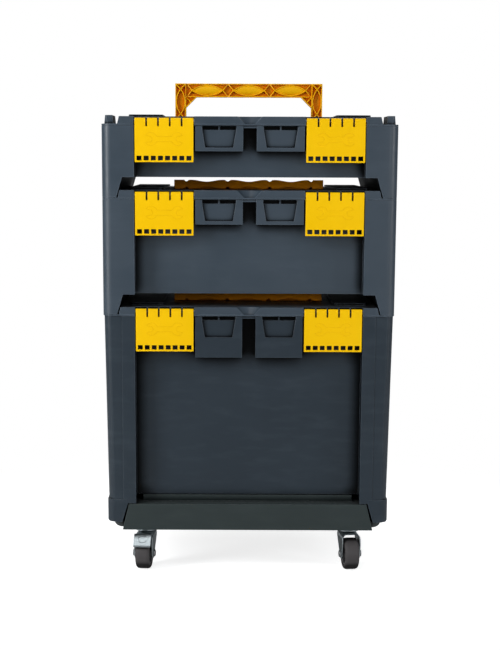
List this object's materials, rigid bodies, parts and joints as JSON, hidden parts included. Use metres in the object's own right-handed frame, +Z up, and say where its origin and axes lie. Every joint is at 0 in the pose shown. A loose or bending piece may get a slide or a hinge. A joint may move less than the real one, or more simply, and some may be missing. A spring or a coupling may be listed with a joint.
{
  "type": "rolling tool box",
  "caption": "Stacking tool boxes with hinged lids, front latches and lattice handles, on a low dolly with swivel casters.",
  "frame": {"origin": "on the floor under the middle of the stack's bounding box", "axes": "+X to the right seen from the front, -Y to the front with the latches, +Z up"},
  "size_m": [0.445, 0.363, 0.759],
  "materials": {
    "shell": "fine moulded texture, dark blue-grey",
    "deck": "coarse moulded texture, greenish grey",
    "latch": "satin yellow",
    "handle": "satin amber yellow",
    "zinc": "bright zinc plate",
    "steel": "drawn rod",
    "hub": "moulded dark grey",
    "tyre": "matt dark grey rubber"
  },
  "bodies": {
    "dolly": {"dolly_deck": "deck", "front_left_caster_plate": "zinc", "front_right_caster_plate": "zinc", "rear_left_caster_plate": "zinc", "rear_right_caster_plate": "zinc"},
    "front_left_caster": {"front_left_bearing": "zinc", "front_left_kingpin": "steel", "front_left_fork": "zinc", "front_left_axle": "steel"},
    "front_left_wheel": {"front_left_wheel_hub": "hub", "front_left_tyre": "tyre"},
    "front_left_brake": {"front_left_brake_pedal": "zinc"},
    "front_right_caster": {"front_right_bearing": "zinc", "front_right_kingpin": "steel", "front_right_fork": "zinc", "front_right_axle": "steel"},
    "front_right_wheel": {"front_right_wheel_hub": "hub", "front_right_tyre": "tyre"},
    "rear_left_caster": {"rear_left_bearing": "zinc", "rear_left_kingpin": "steel", "rear_left_fork": "zinc", "rear_left_axle": "steel"},
    "rear_left_wheel": {"rear_left_wheel_hub": "hub", "rear_left_tyre": "tyre"},
    "rear_right_caster": {"rear_right_bearing": "zinc", "rear_right_kingpin": "steel", "rear_right_fork": "zinc", "rear_right_axle": "steel"},
    "rear_right_wheel": {"rear_right_wheel_hub": "hub", "rear_right_tyre": "tyre"},
    "rear_right_brake": {"rear_right_brake_pedal": "zinc"},
    "bottom_box": {"bottom_body": "shell"},
    "bottom_lid": {"bottom_lid": "shell", "bottom_latch_rod_left": "steel", "bottom_latch_rod_right": "steel", "bottom_hinge_pin_left": "steel", "bottom_hinge_pin_right": "steel"},
    "bottom_latch_left": {"bottom_latch_left": "latch"},
    "bottom_latch_right": {"bottom_latch_right": "latch"},
    "bottom_handle": {"bottom_handle": "handle"},
    "middle_box": {"middle_body": "shell"},
    "middle_lid": {"middle_lid": "shell", "middle_latch_rod_left": "steel", "middle_latch_rod_right": "steel", "middle_hinge_pin_left": "steel", "middle_hinge_pin_right": "steel"},
    "middle_latch_left": {"middle_latch_left": "latch"},
    "middle_latch_right": {"middle_latch_right": "latch"},
    "middle_handle": {"middle_handle": "handle"},
    "top_box": {"top_body": "shell"},
    "top_lid": {"top_lid": "shell", "top_latch_rod_left": "steel", "top_latch_rod_right": "steel", "top_hinge_pin_left": "steel", "top_hinge_pin_right": "steel"},
    "top_latch_left": {"top_latch_left": "latch"},
    "top_latch_right": {"top_latch_right": "latch"},
    "top_handle": {"top_handle": "handle"}
  },
  "joints": [
    {"name": "front_left_swivel", "type": "hinge", "parent": "dolly", "child": "front_left_caster", "pos_m": [-0.161, -0.1335, 0.06], "axis": [0, 0, 1], "continuous": true},
    {"name": "front_left_wheel_spin", "type": "hinge", "parent": "front_left_caster", "child": "front_left_wheel", "pos_m": [-0.16301, -0.15139, 0.025], "axis": [0.9938, -0.1115, 0], "continuous": true},
    {"name": "front_left_brake_press", "type": "hinge", "parent": "front_left_caster", "child": "front_left_brake", "pos_m": [-0.16345, -0.15536, 0.053], "axis": [0.9938, -0.1115, 0], "range_deg": [0, 8]},
    {"name": "front_right_swivel", "type": "hinge", "parent": "dolly", "child": "front_right_caster", "pos_m": [0.161, -0.1335, 0.06], "axis": [0, 0, 1], "continuous": true},
    {"name": "front_right_wheel_spin", "type": "hinge", "parent": "front_right_caster", "child": "front_right_wheel", "pos_m": [0.16301, -0.15139, 0.025], "axis": [0.9938, 0.1115, 0], "continuous": true},
    {"name": "rear_left_swivel", "type": "hinge", "parent": "dolly", "child": "rear_left_caster", "pos_m": [-0.161, 0.1285, 0.06], "axis": [0, 0, 1], "continuous": true},
    {"name": "rear_left_wheel_spin", "type": "hinge", "parent": "rear_left_caster", "child": "rear_left_wheel", "pos_m": [-0.16301, 0.11061, 0.025], "axis": [0.9938, -0.1115, 0], "continuous": true},
    {"name": "rear_right_swivel", "type": "hinge", "parent": "dolly", "child": "rear_right_caster", "pos_m": [0.161, 0.1285, 0.06], "axis": [0, 0, 1], "continuous": true},
    {"name": "rear_right_wheel_spin", "type": "hinge", "parent": "rear_right_caster", "child": "rear_right_wheel", "pos_m": [0.16301, 0.11061, 0.025], "axis": [0.9938, 0.1115, 0], "continuous": true},
    {"name": "rear_right_brake_press", "type": "hinge", "parent": "rear_right_caster", "child": "rear_right_brake", "pos_m": [0.16345, 0.10664, 0.053], "axis": [0.9938, 0.1115, 0], "range_deg": [0, 8]},
    {"name": "bottom_box_lift", "type": "slide", "parent": "dolly", "child": "bottom_box", "axis": [0, 0, 1], "range_m": [0, 0.15]},
    {"name": "bottom_lid_hinge", "type": "hinge", "parent": "bottom_box", "child": "bottom_lid", "pos_m": [0, 0.177, 0.4059], "axis": [-1, 0, 0], "range_deg": [0, 95]},
    {"name": "bottom_latch_left_pivot", "type": "hinge", "parent": "bottom_lid", "child": "bottom_latch_left", "pos_m": [-0.1284, -0.1766, 0.4115], "axis": [-1, 0, 0], "range_deg": [0, 110]},
    {"name": "bottom_latch_right_pivot", "type": "hinge", "parent": "bottom_lid", "child": "bottom_latch_right", "pos_m": [0.1284, -0.1766, 0.4115], "axis": [-1, 0, 0], "range_deg": [0, 110]},
    {"name": "bottom_handle_pivot", "type": "hinge", "parent": "bottom_lid", "child": "bottom_handle", "pos_m": [0, -0.0025, 0.408], "axis": [-1, 0, 0], "range_deg": [0, 74.6]},
    {"name": "middle_box_lift", "type": "slide", "parent": "bottom_lid", "child": "middle_box", "axis": [0, 0, 1], "range_m": [0, 0.15]},
    {"name": "middle_lid_hinge", "type": "hinge", "parent": "middle_box", "child": "middle_lid", "pos_m": [0, 0.177, 0.5819], "axis": [-1, 0, 0], "range_deg": [0, 95]},
    {"name": "middle_latch_left_pivot", "type": "hinge", "parent": "middle_lid", "child": "middle_latch_left", "pos_m": [-0.1284, -0.1766, 0.5875], "axis": [-1, 0, 0], "range_deg": [0, 110]},
    {"name": "middle_latch_right_pivot", "type": "hinge", "parent": "middle_lid", "child": "middle_latch_right", "pos_m": [0.1284, -0.1766, 0.5875], "axis": [-1, 0, 0], "range_deg": [0, 110]},
    {"name": "middle_handle_pivot", "type": "hinge", "parent": "middle_lid", "child": "middle_handle", "pos_m": [0, -0.0025, 0.584], "axis": [-1, 0, 0], "range_deg": [0, 74.6]},
    {"name": "top_box_lift", "type": "slide", "parent": "middle_lid", "child": "top_box", "axis": [0, 0, 1], "range_m": [0, 0.15]},
    {"name": "top_lid_hinge", "type": "hinge", "parent": "top_box", "child": "top_lid", "pos_m": [0, 0.177, 0.6909], "axis": [-1, 0, 0], "range_deg": [0, 95]},
    {"name": "top_latch_left_pivot", "type": "hinge", "parent": "top_lid", "child": "top_latch_left", "pos_m": [-0.1284, -0.1766, 0.6965], "axis": [-1, 0, 0], "range_deg": [0, 110]},
    {"name": "top_latch_right_pivot", "type": "hinge", "parent": "top_lid", "child": "top_latch_right", "pos_m": [0.1284, -0.1766, 0.6965], "axis": [-1, 0, 0], "range_deg": [0, 110]},
    {"name": "top_handle_pivot", "type": "hinge", "parent": "top_lid", "child": "top_handle", "pos_m": [0, -0.0025, 0.693], "axis": [1, 0, 0], "range_deg": [0, 74.6]}
  ],
  "couplings": [
    {"joint": "middle_handle_pivot", "follows": "top_box_lift", "rad_per_m": 8.6796},
    {"joint": "bottom_handle_pivot", "follows": "middle_box_lift", "rad_per_m": 8.6796}
  ]
}
